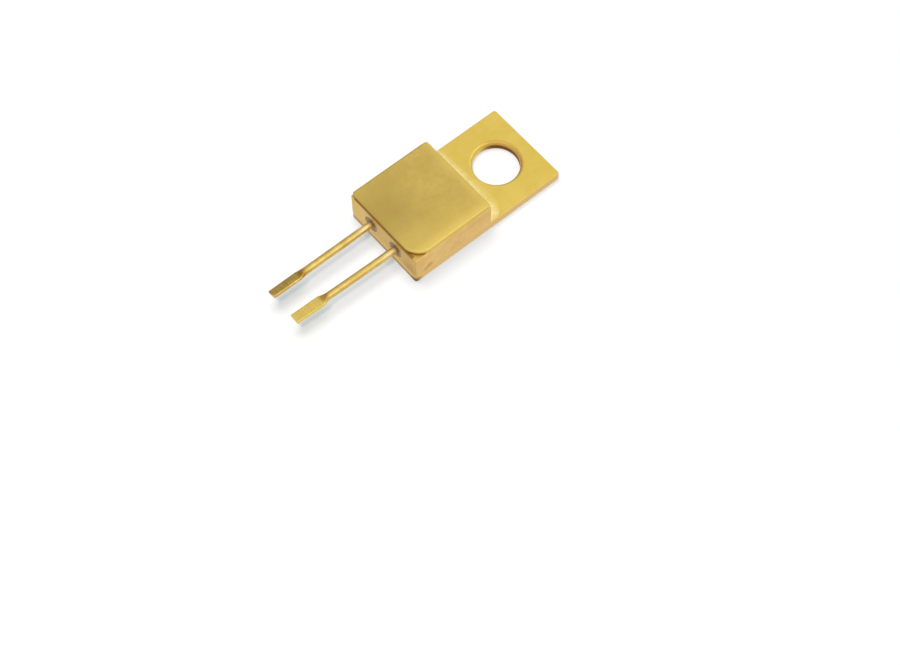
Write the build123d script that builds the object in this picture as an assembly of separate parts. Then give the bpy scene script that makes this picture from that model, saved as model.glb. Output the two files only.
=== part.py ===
from build123d import *
import os

# Two-lead temperature sensor in a hermetic, gold-plated case with a drilled mounting tab.
#
# A stamped plate carries a sidewall ring, brazed on, and its far end is the tab. Two wires pass the
# ring's front wall in glass seals. Inside, a ceramic tile is soldered to the plate and carries the
# sensing chip; ribbons and wires join it to the leads. A stepped lid is welded on top.
#
# Millimetres. The origin is on the axis of the mounting hole, at the plate's underside. +X runs to
# the end of the tab, the leads leave towards -X, left is +Y, and +Z goes up through the lid.

# ---- base plate ----
plate_width = 10.16
plate_length = 19.05
plate_thickness = 1.0
plate_front_corner_radius = 0.3
tab_corner_radius = 0.3
plate_upper_edge_radius = 0.06
plate_lower_edge_radius = 0.15
hole_diameter = 4.98
hole_to_tab_end = 4.2
hole_rim_radius = 0.3

# ---- sidewall ring ----
case_length = 9.85
case_setback = 0.03
ring_height = 2.85
wall_thickness = 1.0
ring_corner_radius = 0.12
ring_upper_edge_radius = 0.1
cavity_corner_radius = 0.6

# ---- braze between ring and plate, with its fillet over the tab ----
braze_thickness = 0.05
fillet_reach_left = 1.75
fillet_reach_right = 2.15
fillet_edge_reach_left = 1.4
fillet_edge_reach_right = 0.75
fillet_rise = 1.5

# ---- lid ----
lid_thickness = 0.55
lid_front_gap = 0.1
lid_right_gap = 0.05
lid_flush_gap = 0.03
lid_corner_radius = 0.3
lid_index_corner_radius = 1.9
lid_edge_radius = 0.25
lid_margin_width = 0.9
lid_margin_drop = 0.1
lid_spigot_depth = 0.2
lid_spigot_clearance = 0.15

# ---- leads and their glass seals ----
lead_diameter = 0.81
lead_pitch = 3.81
lead_height = 2.35
lead_length = 12.5
tip_length = 3.9
tip_shoulder = 0.6
tip_width = 1.24
tip_end_width = 1.2
tip_thickness = 0.38
tip_bulge_height = 0.6
tip_runout_share = 0.32
left_tip_roll = -20
right_tip_roll = 0
post_length = 1.5
post_flat_length = 1.0
post_flat_depth = 0.2
seal_diameter = 1.9
seal_sag = 0.08

# ---- ceramic tile on the floor of the cavity ----
tile_thickness = 0.38
tile_margin = 0.6
tile_solder_thickness = 0.05
tile_solder_spread = 0.12
pad_length = 2.4
pad_width = 1.4
pad_thickness = 0.03
pad_margin = 0.3

# ---- sensing chip ----
chip_length = 2.4
chip_width = 2.0
chip_thickness = 0.4
chip_margin = 1.1
chip_adhesive_thickness = 0.05
chip_adhesive_spread = 0.08
film_thickness = 0.02
track_width = 0.09
track_gap = 0.09
track_edge_margin = 0.12
land_length = 0.6
land_width = 0.75
land_to_legs = 0.15
glaze_thickness = 0.06
glaze_margin = 0.05

# ---- ribbons and wires inside ----
ribbon_width = 0.5
ribbon_thickness = 0.08
ribbon_weld_length = 0.75
ribbon_overhang = 0.25
ribbon_run = 0.5
ribbon_foot_length = 0.45
ribbon_bend_radius = 0.14
wire_diameter = 0.08
wire_loop_height = 0.45
wire_bend_radius = 0.14
ball_diameter = 0.22
ball_height = 0.07
wedge_length = 0.26
wedge_width = 0.14
wedge_height = 0.05

# ---- places that follow from the sizes ----
tab_end_x = hole_to_tab_end
plate_front_x = tab_end_x - plate_length
case_front_x = plate_front_x + case_setback
case_back_x = plate_front_x + case_length
case_width = plate_width - 2 * case_setback
cavity_front_x = case_front_x + wall_thickness
cavity_back_x = case_back_x - wall_thickness
cavity_width = case_width - 2 * wall_thickness
ring_foot_z = plate_thickness + braze_thickness
ring_top_z = ring_foot_z + ring_height
lid_front_x = case_front_x + lid_front_gap
lid_back_x = case_back_x - lid_flush_gap
lid_right_y = -case_width / 2 + lid_right_gap
lid_left_y = case_width / 2 - lid_flush_gap
lid_top_z = ring_top_z + lid_thickness
lead_radius = lead_diameter / 2
lead_tip_x = case_front_x - lead_length
post_end_x = cavity_front_x + post_length
post_flat_z = lead_height + lead_radius - post_flat_depth
tile_front_x = cavity_front_x + tile_margin
tile_back_x = cavity_back_x - tile_margin
tile_width = cavity_width - 2 * tile_margin
tile_foot_z = plate_thickness + tile_solder_thickness
tile_top_z = tile_foot_z + tile_thickness
pad_front_x = tile_front_x + pad_margin
pad_back_x = pad_front_x + pad_length
pad_top_z = tile_top_z + pad_thickness
chip_back_x = tile_back_x - chip_margin
chip_front_x = chip_back_x - chip_length
chip_foot_z = tile_top_z + chip_adhesive_thickness
chip_top_z = chip_foot_z + chip_thickness
land_front_x = chip_front_x + track_edge_margin
land_back_x = land_front_x + land_length
legs_front_x = land_back_x + land_to_legs
legs_back_x = chip_back_x - track_edge_margin

LEFT = 1
RIGHT = -1


def slab(x_low, x_high, y_low, y_high, z_low, z_high):
    """Rectangular block between six planes."""
    size = (x_high - x_low, y_high - y_low, z_high - z_low)
    centre = ((x_low + x_high) / 2, (y_low + y_high) / 2, (z_low + z_high) / 2)
    return Pos(*centre) * Box(*size)


def plan(x_low, x_high, width, front_radius, back_radius, y_mid=0):
    """Flat outline between two X values, with one corner radius in front and one behind."""
    outline = Pos((x_low + x_high) / 2, y_mid) * Rectangle(x_high - x_low, width)
    outline = fillet(outline.vertices().group_by(Axis.X)[0], front_radius)
    return fillet(outline.vertices().group_by(Axis.X)[-1], back_radius)


def section_at(x, y, z):
    """Plane across a lead: its own X runs along +Y and its own Y along +Z."""
    return Plane(origin=(x, y, z), x_dir=(0, 1, 0), z_dir=(1, 0, 0))


def base_plate():
    """Stamped plate with the punched mounting hole; the die has rolled its upper edges."""
    outline = plan(plate_front_x, tab_end_x, plate_width, plate_front_corner_radius, tab_corner_radius)
    plate = extrude(outline - Circle(hole_diameter / 2), plate_thickness)
    top = plate.faces().sort_by(Axis.Z)[-1]
    rim = top.inner_wires()[0].edges()
    plate = fillet(rim, hole_rim_radius)
    upper = plate.faces().sort_by(Axis.Z)[-1].outer_wire().edges()
    plate = fillet(upper, plate_upper_edge_radius)
    lower = plate.faces().sort_by(Axis.Z)[0].outer_wire().edges()
    return fillet(lower, plate_lower_edge_radius)


def ring_plan():
    """Outline of the sidewall ring, with the cavity left out."""
    outside = plan(case_front_x, case_back_x, case_width, ring_corner_radius, ring_corner_radius)
    cavity = plan(cavity_front_x, cavity_back_x, cavity_width, cavity_corner_radius, cavity_corner_radius)
    return outside - cavity


def sidewall_ring():
    """Four-sided wall with a bore for each glass seal."""
    ring = extrude(Pos(0, 0, ring_foot_z) * ring_plan(), ring_height)
    upper = ring.faces().sort_by(Axis.Z)[-1].outer_wire().edges()
    ring = fillet(upper, ring_upper_edge_radius)
    for side in (LEFT, RIGHT):
        mouth = section_at(case_front_x, side * lead_pitch / 2, lead_height) * Circle(seal_diameter / 2)
        ring -= extrude(mouth, wall_thickness)
    return ring


def fillet_section(y, reach):
    """Section of the braze fillet at one place across the tab: a quarter ellipse over a thin toe."""
    hollow = EllipticalCenterArc(
        (reach, fillet_rise), reach, fillet_rise - braze_thickness, start_angle=180, arc_size=90
    )
    upright = Line((0, fillet_rise), (0, 0))
    foot = Line((0, 0), (reach, 0))
    toe = Line((reach, 0), (reach, braze_thickness))
    across = Plane(origin=(case_back_x, y, plate_thickness), x_dir=(1, 0, 0), z_dir=(0, -1, 0))
    return across * make_face([upright, foot, toe, hollow])


def frame_braze():
    """Braze preform under the ring, drawn out over the tab into a fillet with rounded ends."""
    half = case_width / 2
    left_y = half - (fillet_reach_left**2 - fillet_edge_reach_left**2) ** 0.5
    right_y = -half + (fillet_reach_right**2 - fillet_edge_reach_right**2) ** 0.5
    left = fillet_section(left_y, fillet_reach_left)
    right = fillet_section(right_y, fillet_reach_right)
    run = loft([right, left])
    run += revolve(left, Axis((case_back_x, left_y, 0), (0, 0, 1)), 90)
    run += revolve(right, Axis((case_back_x, right_y, 0), (0, 0, -1)), 90)
    reach = max(fillet_reach_left, fillet_reach_right)
    run &= slab(
        case_back_x, case_back_x + reach, -half, half, plate_thickness, plate_thickness + fillet_rise
    )
    preform = extrude(Pos(0, 0, plate_thickness) * ring_plan(), braze_thickness)
    return preform + run


def lid_plan():
    """Lid outline: flush with the wall at the back and left; its front right corner is the index."""
    mid = Pos((lid_front_x + lid_back_x) / 2, (lid_right_y + lid_left_y) / 2)
    outline = mid * Rectangle(lid_back_x - lid_front_x, lid_left_y - lid_right_y)
    index = outline.vertices().group_by(Axis.X)[0].sort_by(Axis.Y)[0]
    outline = fillet(index, lid_index_corner_radius)
    left = outline.vertices().group_by(Axis.Y)[-1]
    back_right = outline.vertices().group_by(Axis.X)[-1].sort_by(Axis.Y)[0]
    return fillet([*left, back_right], lid_corner_radius)


def lid():
    """Welded lid: a rolled rim, margins that slope away at the back and right, a spigot below."""
    plate = extrude(Pos(0, 0, ring_top_z) * lid_plan(), lid_thickness)
    plate = fillet(plate.faces().sort_by(Axis.Z)[-1].outer_wire().edges(), lid_edge_radius)
    right_slope = Plane(
        origin=(0, lid_right_y + lid_margin_width, lid_top_z), z_dir=(0, -lid_margin_drop, lid_margin_width)
    )
    back_slope = Plane(
        origin=(lid_back_x - lid_margin_width, 0, lid_top_z), z_dir=(lid_margin_drop, 0, lid_margin_width)
    )
    for slope in (right_slope, back_slope):
        plate = split(plate, bisect_by=slope, keep=Keep.BOTTOM)
    spigot_plan = plan(
        cavity_front_x + lid_spigot_clearance,
        cavity_back_x - lid_spigot_clearance,
        cavity_width - 2 * lid_spigot_clearance,
        cavity_corner_radius,
        cavity_corner_radius,
    )
    spigot = extrude(Pos(0, 0, ring_top_z - lid_spigot_depth) * spigot_plan, lid_spigot_depth)
    return plate + spigot


def seal_glass(side):
    """Glass bead fused between lead and wall; it wets both, so its two faces are hollow."""
    mid = (lead_radius + seal_diameter / 2) / 2
    outer = seal_diameter / 2
    front = ThreePointArc((0, lead_radius), (seal_sag, mid), (0, outer))
    back = ThreePointArc((wall_thickness, outer), (wall_thickness - seal_sag, mid), (wall_thickness, lead_radius))
    skin = Line((0, outer), (wall_thickness, outer))
    bore = Line((wall_thickness, lead_radius), (0, lead_radius))
    profile = make_face([front, skin, back, bore])
    bead = revolve(profile, Axis.X)
    return Pos(case_front_x, side * lead_pitch / 2, lead_height) * bead


def coined_tip():
    """Lead end squeezed flat: a round neck that swells into a thin, slightly tapering blade."""
    neck_x = lead_tip_x + tip_length
    blade_x = neck_x - tip_shoulder
    bulge = tip_bulge_height / 2
    swell = loft(
        [
            section_at(neck_x, 0, 0) * Circle(lead_radius),
            section_at(blade_x, 0, 0) * Ellipse(tip_width / 2, bulge),
        ]
    )
    blade = loft(
        [
            section_at(blade_x, 0, 0) * Ellipse(tip_width / 2, bulge),
            section_at(lead_tip_x, 0, 0) * Ellipse(tip_end_width / 2, bulge),
        ]
    )
    half = tip_thickness / 2
    mid_x = (neck_x + blade_x) / 2
    mid_z = half + (lead_radius - half) * tip_runout_share
    upper_run = ThreePointArc((blade_x, 0, half), (mid_x, 0, mid_z), (neck_x, 0, lead_radius))
    lower_run = ThreePointArc((neck_x, 0, -lead_radius), (mid_x, 0, -mid_z), (blade_x, 0, -half))
    gap_between_dies = make_face(
        [
            Line((lead_tip_x, 0, -half), (lead_tip_x, 0, half)),
            Line((lead_tip_x, 0, half), (blade_x, 0, half)),
            upper_run,
            Line((neck_x, 0, lead_radius), (neck_x, 0, -lead_radius)),
            lower_run,
            Line((blade_x, 0, -half), (lead_tip_x, 0, -half)),
        ]
    )
    return (swell + blade) & extrude(gap_between_dies, tip_width, both=True)


def lead(side, tip_roll):
    """Wire from the coined tip, through its seal, to a post with a bonding flat inside the case."""
    neck_x = lead_tip_x + tip_length
    shank = extrude(section_at(neck_x, 0, 0) * Circle(lead_radius), post_end_x - neck_x)
    flat_low = lead_radius - post_flat_depth
    flat = slab(
        post_end_x - post_flat_length, post_end_x, -lead_radius, lead_radius, flat_low, lead_radius
    )
    tip = Rot(tip_roll, 0, 0) * coined_tip()
    return Pos(0, side * lead_pitch / 2, lead_height) * (shank - flat + tip)


def tile_solder():
    """Solder film that holds the tile to the plate."""
    spread = tile_solder_spread
    half = tile_width / 2 + spread
    return slab(
        tile_front_x - spread, tile_back_x + spread, -half, half, plate_thickness, tile_foot_z
    )


def ceramic_tile():
    """Insulating tile that carries the chip and the two lands for the leads."""
    half = tile_width / 2
    return slab(tile_front_x, tile_back_x, -half, half, tile_foot_z, tile_top_z)


def bond_pad(side):
    """Metal land on the tile, where a lead's ribbon meets a chip wire."""
    mid = side * lead_pitch / 2
    half = pad_width / 2
    return slab(pad_front_x, pad_back_x, mid - half, mid + half, tile_top_z, pad_top_z)


def chip_adhesive():
    """Adhesive film under the chip."""
    spread = chip_adhesive_spread
    half = chip_width / 2 + spread
    return slab(chip_front_x - spread, chip_back_x + spread, -half, half, tile_top_z, chip_foot_z)


def sensor_chip():
    """Ceramic chip that carries the sensing film."""
    half = chip_width / 2
    return slab(chip_front_x, chip_back_x, -half, half, chip_foot_z, chip_top_z)


def sensing_film():
    """Resistive track folded to and fro over the chip, between two lands at its front end."""
    z = (chip_top_z, chip_top_z + film_thickness)
    pitch = track_width + track_gap
    pairs = int((chip_width - 2 * track_edge_margin + track_gap) / (2 * pitch))
    legs = 2 * pairs
    lowest = -(legs - 1) * pitch / 2
    half = track_width / 2
    film = None
    for number in range(legs):
        y = lowest + number * pitch
        at_land = number in (0, legs - 1)
        start = land_back_x if at_land else legs_front_x
        leg = slab(start, legs_back_x, y - half, y + half, *z)
        film = leg if film is None else film + leg
        if number == legs - 1:
            break
        behind = number % 2 == 0
        turn_x = legs_back_x - track_width if behind else legs_front_x
        film += slab(turn_x, turn_x + track_width, y - half, y + pitch + half, *z)
    for side in (LEFT, RIGHT):
        outer = side * (-lowest + half)
        inner = outer - side * land_width
        film += slab(land_front_x, land_back_x, min(outer, inner), max(outer, inner), *z)
    return film


def chip_glaze(film):
    """Glass glaze over the folded track; the two lands stay bare."""
    half = chip_width / 2 - glaze_margin
    front = land_back_x + land_to_legs / 2
    cover = slab(front, chip_back_x - glaze_margin, -half, half, chip_top_z, chip_top_z + glaze_thickness)
    upper = cover.faces().sort_by(Axis.Z)[-1].edges()
    return fillet(upper, glaze_thickness / 2) - film


def lead_ribbon(side):
    """Flat ribbon welded on the post's flat, bent down to the bond pad."""
    high = post_flat_z + ribbon_thickness / 2
    low = pad_top_z + ribbon_thickness / 2
    bend_x = post_end_x + ribbon_overhang
    heel_x = bend_x + ribbon_run
    route = FilletPolyline(
        (post_end_x - ribbon_weld_length, 0, high),
        (bend_x, 0, high),
        (heel_x, 0, low),
        (heel_x + ribbon_foot_length, 0, low),
        radius=ribbon_bend_radius,
    )
    start = section_at(post_end_x - ribbon_weld_length, 0, high)
    ribbon = sweep(start * Rectangle(ribbon_width, ribbon_thickness), path=route)
    return Pos(0, side * lead_pitch / 2, 0) * ribbon


def chip_wire(side):
    """Fine wire from a land on the chip, ball end, to the bond pad, wedge end."""
    film_top_z = chip_top_z + film_thickness
    start = Vector(land_front_x + land_length / 2, side * chip_width / 4, film_top_z)
    end = Vector(pad_back_x - pad_margin, side * (lead_pitch / 2 - pad_width / 4), pad_top_z)
    level = Vector(end.X - start.X, end.Y - start.Y, 0)
    reach = level.length
    drop = start.Z - end.Z
    bond_plane = Plane(origin=start, x_dir=level, z_dir=level.cross(Vector(0, 0, 1)))
    route = bond_plane * FilletPolyline(
        (0, ball_height / 2), (0, wire_loop_height), (reach, -drop), radius=wire_bend_radius
    )
    across = Plane(origin=start + Vector(0, 0, ball_height / 2))
    wire = sweep(across * Circle(wire_diameter / 2), path=route)
    ball = Plane(origin=start) * Cylinder(
        ball_diameter / 2, ball_height, align=(Align.CENTER, Align.CENTER, Align.MIN)
    )
    ball = fillet(ball.edges().sort_by(Axis.Z)[-1], ball_height / 2)
    heading = Plane(origin=end, x_dir=level, z_dir=(0, 0, 1))
    wedge = heading * Box(
        wedge_length, wedge_width, wedge_height, align=(Align.CENTER, Align.CENTER, Align.MIN)
    )
    below_pad = slab(
        end.X - reach, end.X + reach, end.Y - reach, end.Y + reach, end.Z - reach, end.Z
    )
    return (wire - below_pad) + ball + wedge


film = sensing_film()
nodes = {
    "base_plate": base_plate(),
    "sidewall_ring": sidewall_ring(),
    "frame_braze": frame_braze(),
    "lid": lid(),
    "left_seal_glass": seal_glass(LEFT),
    "right_seal_glass": seal_glass(RIGHT),
    "left_lead": lead(LEFT, left_tip_roll),
    "right_lead": lead(RIGHT, right_tip_roll),
    "tile_solder": tile_solder(),
    "ceramic_tile": ceramic_tile(),
    "left_bond_pad": bond_pad(LEFT),
    "right_bond_pad": bond_pad(RIGHT),
    "chip_adhesive": chip_adhesive(),
    "sensor_chip": sensor_chip(),
    "sensing_film": film,
    "chip_glaze": chip_glaze(film),
    "left_lead_ribbon": lead_ribbon(LEFT),
    "right_lead_ribbon": lead_ribbon(RIGHT),
    "left_chip_wire": chip_wire(LEFT),
    "right_chip_wire": chip_wire(RIGHT),
}

os.makedirs("parts", exist_ok=True)
for name, solid in nodes.items():
    export_step(solid, f"parts/{name}.step")
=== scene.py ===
import logging
import math
from collections.abc import Callable
from dataclasses import dataclass, replace
from enum import Enum
from typing import Any

import bmesh
import bpy
import numpy as np
from bpy.types import ID, Material, Mesh, Node, NodeSocket, NodeTree, Object
from mathutils import Matrix, Vector


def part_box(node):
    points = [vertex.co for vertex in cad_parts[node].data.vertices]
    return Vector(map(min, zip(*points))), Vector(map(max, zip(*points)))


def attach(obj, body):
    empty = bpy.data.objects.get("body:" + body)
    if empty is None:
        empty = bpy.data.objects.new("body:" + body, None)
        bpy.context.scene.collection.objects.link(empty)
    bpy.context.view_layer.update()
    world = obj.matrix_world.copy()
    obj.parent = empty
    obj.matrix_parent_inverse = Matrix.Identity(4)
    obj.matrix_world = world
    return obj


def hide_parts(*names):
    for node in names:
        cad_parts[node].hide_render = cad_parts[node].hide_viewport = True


# Two-lead temperature sensor in a gold-plated hermetic case with a drilled mounting tab.
#
# The plate, wall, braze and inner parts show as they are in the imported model, each with its own
# finish. The lid, the leads and their glass seals are finer closed surfaces, made here in place of
# the plain solids. Metres, in the model's own frame: +X to the end of the tab, +Z out of the lid.

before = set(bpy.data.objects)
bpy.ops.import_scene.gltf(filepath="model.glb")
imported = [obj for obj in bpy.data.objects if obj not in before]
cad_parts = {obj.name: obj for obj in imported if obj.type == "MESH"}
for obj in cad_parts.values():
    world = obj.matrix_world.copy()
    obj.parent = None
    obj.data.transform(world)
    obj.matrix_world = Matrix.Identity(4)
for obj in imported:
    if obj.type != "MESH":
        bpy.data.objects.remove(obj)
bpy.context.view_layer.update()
LOG = logging.getLogger("temperature_sensor")

MM = 0.001
Colour = tuple[float, float, float]
Place = tuple[float, float, float]
Tone = tuple[int, int, int]
Array = np.ndarray
Sockets = dict[str, NodeSocket]


class Side(Enum):
    """The two leads, named as seen from the tab looking along them."""

    LEFT = "left"
    RIGHT = "right"


class Grain(Enum):
    """How far the plating's grain is drawn out along X, Y and Z."""

    EVEN = (1.0, 1.0, 1.0)
    ALONG_X = (0.12, 1.0, 1.0)
    UPRIGHT = (1.0, 1.0, 0.25)


class Shape(Enum):
    """What outline a patch has."""

    BAND = "band just inside a rectangle"
    BLOT = "ragged blot"
    ZONE = "soft box"
    BORE = "one side of an upright bore"


def linear(tone: Tone) -> Colour:
    """Turns a tone, as a screen shows it, into the linear colour that a shader takes."""
    shares = [value / 255 for value in tone]
    red, green, blue = (share / 12.92 if share <= 0.04045 else ((share + 0.055) / 1.055) ** 2.4
                        for share in shares)
    return red, green, blue


# ---- shader graphs ----


class Graph:
    """Adds nodes to one node tree and joins them."""

    def __init__(self, tree: NodeTree) -> None:
        """Keeps the tree that the nodes go into."""
        self.tree = tree

    def node(self, kind: str, inputs: dict[Any, Any] | None = None, **settings: Any) -> Node:
        """Adds a node.

        Args:
            kind: The node's type name, without its ShaderNode prefix.
            inputs: Values or sockets for its inputs, by name or number.
            **settings: The node's own properties.

        Returns:
            The new node.
        """
        made = self.tree.nodes.new("ShaderNode" + kind)
        for name, value in settings.items():
            setattr(made, name, value)
        for key, value in (inputs or {}).items():
            self.feed(made.inputs[key], value)
        return made

    def feed(self, socket: NodeSocket, value: Any) -> None:
        """Joins another socket to this one, or sets its value."""
        if isinstance(value, NodeSocket):
            self.tree.links.new(value, socket)
        elif socket.type == "RGBA" and len(value) == 3:
            socket.default_value = (*value, 1.0)
        else:
            socket.default_value = value

    def maths(self, operation: str, *values: Any, clamp: bool = False) -> NodeSocket:
        """Returns the result of one Math node."""
        made = self.node("Math", dict(enumerate(values)), operation=operation, use_clamp=clamp)
        return made.outputs[0]

    def vector(self, operation: str, *values: Any) -> NodeSocket:
        """Returns the result of one Vector Math node, a vector or a single value."""
        made = self.node("VectorMath", dict(enumerate(values)), operation=operation)
        single = operation in ("DISTANCE", "DOT_PRODUCT", "LENGTH")
        return made.outputs["Value" if single else "Vector"]

    def parts(self, vector: Any) -> tuple[NodeSocket, ...]:
        """Returns a vector's X, Y and Z."""
        return tuple(self.node("SeparateXYZ", {0: vector}).outputs)

    def scaled(self, value: Any, low: float, high: float, new_low: float = 0.0,
               new_high: float = 1.0) -> NodeSocket:
        """Carries a value smoothly from one range to another, held at its ends."""
        made = self.node("MapRange", {"Value": value, "From Min": low, "From Max": high,
                                      "To Min": new_low, "To Max": new_high},
                         interpolation_type="SMOOTHSTEP")
        return made.outputs["Result"]

    def blend(self, share: Any, first: Any, second: Any, kind: str = "RGBA") -> NodeSocket:
        """Returns two colours, or two values, mixed by a share."""
        made = self.node("Mix", data_type=kind)
        inputs = [socket for socket in made.inputs if socket.enabled]
        for socket, value in zip(inputs, (share, first, second)):
            self.feed(socket, value)
        return next(socket for socket in made.outputs if socket.enabled)

    def noise(self, vector: Any, scale: Any, detail: float = 2.0, roughness: float = 0.5,
              distortion: float = 0.0) -> NodeSocket:
        """Returns fractal noise, about 0.5 in the middle."""
        made = self.node("TexNoise", {"Vector": vector, "Scale": scale, "Detail": detail,
                                      "Roughness": roughness, "Distortion": distortion})
        return made.outputs["Fac"]

    def use(self, group: NodeTree, **inputs: Any) -> Sockets:
        """Places a shared effect with those of the values that it takes, and returns its outputs."""
        made = self.node("Group", node_tree=group)
        for name, value in inputs.items():
            if name in made.inputs:
                self.feed(made.inputs[name], value)
        return dict(made.outputs.items())

    def show(self, shader: Node, output: str = "OutputMaterial") -> None:
        """Ends the tree with a shader."""
        self.feed(self.node(output).inputs["Surface"], shader.outputs[0])

    def skin(self, height: NodeSocket, drop: float, inputs: dict[str, Any]) -> None:
        """Ends the tree with a Principled shader over a surface bumped by a height."""
        bump = self.node("Bump", {"Height": height, "Distance": drop})
        self.show(self.node("BsdfPrincipled", {**inputs, "Normal": bump.outputs[0]}))


def new_material(name: str) -> tuple[Material, Graph]:
    """Adds an empty material and returns it with its graph."""
    made = bpy.data.materials.new(name)
    made.use_nodes = True
    made.node_tree.nodes.clear()
    return made, Graph(made.node_tree)


def clouds(graph: Graph, given: Sockets) -> Sockets:
    """Broad soft patches, as plating takes its colour unevenly: two noises, one four times finer."""
    scale = graph.maths("DIVIDE", 1.0, given["Size"])
    broad = graph.noise(given["Vector"], scale, roughness=0.45, distortion=0.3)
    fine = graph.noise(given["Vector"], graph.maths("MULTIPLY", scale, 4.0))
    return {"Mask": graph.scaled(graph.blend(0.3, broad, fine, kind="FLOAT"), 0.36, 0.64)}


def grain(graph: Graph, given: Sockets) -> Sockets:
    """Fine tooth of a satin surface: noise on stretched coordinates, with a coarser one below it."""
    drawn = graph.vector("MULTIPLY", given["Vector"], given["Stretch"])
    scale = graph.maths("DIVIDE", 1.0, given["Size"])
    tooth = graph.noise(drawn, scale, detail=3.0, roughness=0.6)
    swell = graph.noise(drawn, graph.maths("MULTIPLY", scale, 0.22))
    height = graph.blend(0.4, tooth, swell, kind="FLOAT")
    return {"Height": height, "Shade": graph.scaled(height, 0.3, 0.7)}


def edge_wear_and_highlight(graph: Graph, given: Sockets) -> Sockets:
    """Edges that handling has rubbed, lightened also as a painted highlight: where the normal turns within a
    small radius of the point.
    """
    rounded = graph.node("Bevel", {"Radius": 0.09 * MM}, samples=6).outputs[0]
    turn = graph.vector("DOT_PRODUCT", rounded, graph.node("NewGeometry").outputs["Normal"])
    edge = graph.scaled(graph.maths("SUBTRACT", 1.0, turn), 0.01, 0.16)
    patches = graph.noise(given["Vector"], 1 / (0.4 * MM), detail=3.0, roughness=0.6)
    worn = graph.maths("MULTIPLY", edge, graph.scaled(patches, 0.35, 0.6, 0.45, 1.0))
    return {"Mask": graph.maths("MULTIPLY", worn, given["Gain"], clamp=True)}


def hairlines(graph: Graph, given: Sockets) -> Sockets:
    """Thin handling scratches: the ridges of two long stretched noises that cross each other."""
    lines = []
    for turn in (0.45, -0.9):
        turned = graph.node("VectorRotate", {"Vector": given["Vector"], "Angle": turn},
                            rotation_type="Z_AXIS").outputs[0]
        drawn = graph.vector("MULTIPLY", turned, (0.05, 1.0, 1.0))
        value = graph.noise(drawn, graph.maths("DIVIDE", 3.0, given["Size"]), distortion=0.2)
        ridge = graph.maths("ABSOLUTE", graph.maths("SUBTRACT", value, 0.5))
        lines.append(graph.scaled(ridge, 0.0, 0.006, 1.0, 0.0))
    places = graph.noise(given["Vector"], graph.maths("DIVIDE", 0.7, given["Size"]), detail=1.0)
    either = graph.maths("MAXIMUM", *lines)
    return {"Mask": graph.maths("MULTIPLY", either, graph.scaled(places, 0.5, 0.62))}


def depth(graph: Graph, given: Sockets) -> tuple[NodeSocket, ...]:
    """Returns how far the point lies inside a box's faces, along X, Y and Z."""
    away = graph.vector("ABSOLUTE", graph.vector("SUBTRACT", given["Vector"], given["Centre"]))
    return graph.parts(graph.vector("SUBTRACT", given["Half"], away))


def band(graph: Graph, given: Sockets) -> Sockets:
    """Band inside a rectangle's outline: 1 on the outline, falling to 0 at Width within it."""
    x, y, _ = depth(graph, given)
    share = graph.maths("DIVIDE", graph.maths("MINIMUM", x, y), given["Width"])
    return {"Mask": graph.scaled(share, 0.0, 1.0, 1.0, 0.0)}


def blot(graph: Graph, given: Sockets) -> Sockets:
    """One soft-edged blot of radius Width about a point, its outline broken by noise."""
    gap = graph.vector("DISTANCE", given["Vector"], given["Centre"])
    ragged = graph.noise(given["Vector"], 1 / (0.12 * MM), detail=3.0, roughness=0.6)
    share = graph.maths("MULTIPLY_ADD", ragged, 0.5, graph.maths("DIVIDE", gap, given["Width"]))
    return {"Mask": graph.scaled(share, 0.45, 1.25, 1.0, 0.0)}


def zone(graph: Graph, given: Sockets) -> Sockets:
    """Soft-edged box: 1 well inside it, falling to 0 at its faces over Width."""
    x, y, z = depth(graph, given)
    nearest = graph.maths("MINIMUM", z, graph.maths("MINIMUM", x, y))
    noise = graph.noise(given["Vector"], 1 / (0.45 * MM), detail=3.0, roughness=0.6)
    broken = graph.maths("MULTIPLY_ADD", graph.maths("SUBTRACT", noise, 0.5), given["Ragged"], nearest)
    return {"Mask": graph.scaled(graph.maths("DIVIDE", broken, given["Width"]), 0.0, 1.0)}


def bore(graph: Graph, given: Sockets) -> Sockets:
    """Wall of an upright bore on its +X side, from Half's height down to its foot."""
    away = graph.vector("SUBTRACT", given["Vector"], given["Centre"])
    height = graph.parts(away)[2]
    radius, _, top = graph.parts(given["Half"])
    flat = graph.vector("MULTIPLY", away, (1.0, 1.0, 0.0))
    beyond = graph.maths("SUBTRACT", graph.vector("LENGTH", flat), radius)
    below = graph.maths("SUBTRACT", top, height)
    facing = graph.parts(graph.vector("NORMALIZE", flat))[0]
    mask = graph.scaled(graph.maths("DIVIDE", beyond, given["Width"]), 0.0, 1.0, 1.0, 0.0)
    for share in (graph.scaled(facing, -0.1, 0.6),
                  graph.scaled(graph.maths("DIVIDE", below, given["Width"]), 0.0, 1.0),
                  graph.scaled(height, 0.0, 0.02 * MM)):
        mask = graph.maths("MULTIPLY", mask, share)
    return {"Mask": mask}


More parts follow.
